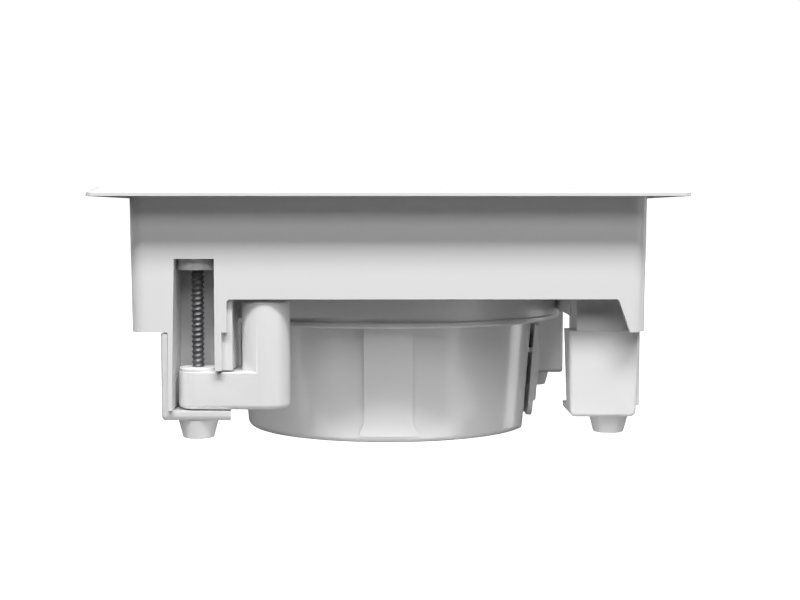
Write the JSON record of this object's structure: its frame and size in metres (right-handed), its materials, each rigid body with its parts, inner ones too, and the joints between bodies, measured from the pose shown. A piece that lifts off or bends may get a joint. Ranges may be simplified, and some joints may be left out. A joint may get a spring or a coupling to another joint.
{
  "type": "flush-mount speaker",
  "caption": "Square flush-mount speaker with bevelled flange, magnetic grille, tapered back can and corner dog-leg clamps that swing out to grip a ceiling or wall board.",
  "frame": {"origin": "centre of the back can's floor, on the surface it stands on", "axes": "+Z out of the can towards the flange and grille, X and Y along the sides of the flange"},
  "size_m": [0.1892, 0.1892, 0.0869],
  "materials": {
    "white_moulding": "gloss moulded",
    "white_cap": "gloss moulded",
    "white_dog": "gloss moulded",
    "clamp_steel": "dark zinc plated",
    "grille_paint": "satin white powder coat",
    "nickel_magnet": "nickel plated",
    "gasket_foam": "closed cell foam",
    "small_steel": "zinc plated",
    "terminal_white": "satin moulded",
    "basket_paint": "black paint",
    "plated_iron": "zinc plated",
    "ferrite": "sintered",
    "former_foil": "foil",
    "coil_wire": "enamelled copper",
    "spider_cloth": "resin dipped cotton",
    "cone_grey": "mineral filled",
    "surround_rubber": "smooth",
    "bridge_black": "textured",
    "dome_cloth": "coated silk",
    "board_green": "solder mask",
    "capacitor_film": "film wrap",
    "resistor_stone": "cement"
  },
  "bodies": {
    "frame": {"mounting_frame": "white_moulding", "back_can": "white_moulding", "tower_cap_front_left": "white_cap", "tower_cap_front_right": "white_cap", "tower_cap_back_right": "white_cap", "tower_cap_back_left": "white_cap", "grille": "grille_paint", "grille_magnets": "nickel_magnet", "tweeter_magnet": "nickel_magnet", "can_gasket": "gasket_foam", "woofer_gasket": "gasket_foam", "can_screws": "small_steel", "terminal_screws": "small_steel", "terminal_clamp_screws": "small_steel", "woofer_screws": "small_steel", "bridge_screws": "small_steel", "board_screws": "small_steel", "terminal_plate": "terminal_white", "terminal_block": "terminal_white", "woofer_basket": "basket_paint", "woofer_top_plate": "plated_iron", "woofer_yoke": "plated_iron", "woofer_magnet": "ferrite", "crossover_inductor": "coil_wire", "spider": "spider_cloth", "surround": "surround_rubber", "tweeter_bridge": "bridge_black", "tweeter_cup": "bridge_black", "tweeter_dome": "dome_cloth", "crossover_board": "board_green", "crossover_capacitor": "capacitor_film", "crossover_resistor": "resistor_stone"},
    "cone_assembly": {"cone": "cone_grey", "dust_cap": "cone_grey", "voice_coil_former": "former_foil", "voice_coil": "coil_wire"},
    "dog_front_left": {"clamp_dog_front_left": "white_dog"},
    "screw_front_left": {"clamp_screw_front_left": "clamp_steel"},
    "dog_front_right": {"clamp_dog_front_right": "white_dog"},
    "screw_front_right": {"clamp_screw_front_right": "clamp_steel"},
    "dog_back_right": {"clamp_dog_back_right": "white_dog"},
    "screw_back_right": {"clamp_screw_back_right": "clamp_steel"},
    "dog_back_left": {"clamp_dog_back_left": "white_dog"},
    "screw_back_left": {"clamp_screw_back_left": "clamp_steel"}
  },
  "joints": [
    {"name": "dog_swing_front_left", "type": "hinge", "parent": "frame", "child": "dog_front_left", "pos_m": [-0.0622, -0.0738, 0], "axis": [0, 0, 1], "range_deg": [-90, 0]},
    {"name": "screw_turn_front_left", "type": "hinge", "parent": "frame", "child": "screw_front_left", "pos_m": [-0.0622, -0.0738, 0], "axis": [0, 0, 1], "continuous": true},
    {"name": "dog_swing_front_right", "type": "hinge", "parent": "frame", "child": "dog_front_right", "pos_m": [0.0738, -0.0622, 0], "axis": [0, 0, 1], "range_deg": [-90, 0]},
    {"name": "screw_turn_front_right", "type": "hinge", "parent": "frame", "child": "screw_front_right", "pos_m": [0.0738, -0.0622, 0], "axis": [0, 0, 1], "continuous": true},
    {"name": "dog_swing_back_right", "type": "hinge", "parent": "frame", "child": "dog_back_right", "pos_m": [0.0622, 0.0738, 0], "axis": [0, 0, 1], "range_deg": [-90, 0]},
    {"name": "screw_turn_back_right", "type": "hinge", "parent": "frame", "child": "screw_back_right", "pos_m": [0.0622, 0.0738, 0], "axis": [0, 0, 1], "continuous": true},
    {"name": "dog_swing_back_left", "type": "hinge", "parent": "frame", "child": "dog_back_left", "pos_m": [-0.0738, 0.0622, 0], "axis": [0, 0, 1], "range_deg": [-90, 0]},
    {"name": "screw_turn_back_left", "type": "hinge", "parent": "frame", "child": "screw_back_left", "pos_m": [-0.0738, 0.0622, 0], "axis": [0, 0, 1], "continuous": true},
    {"name": "cone_travel", "type": "slide", "parent": "frame", "child": "cone_assembly", "axis": [0, 0, 1], "range_m": [-0.003, 0.003], "stiffness_N_per_m": 1500, "deforming": ["surround", "spider"]}
  ]
}
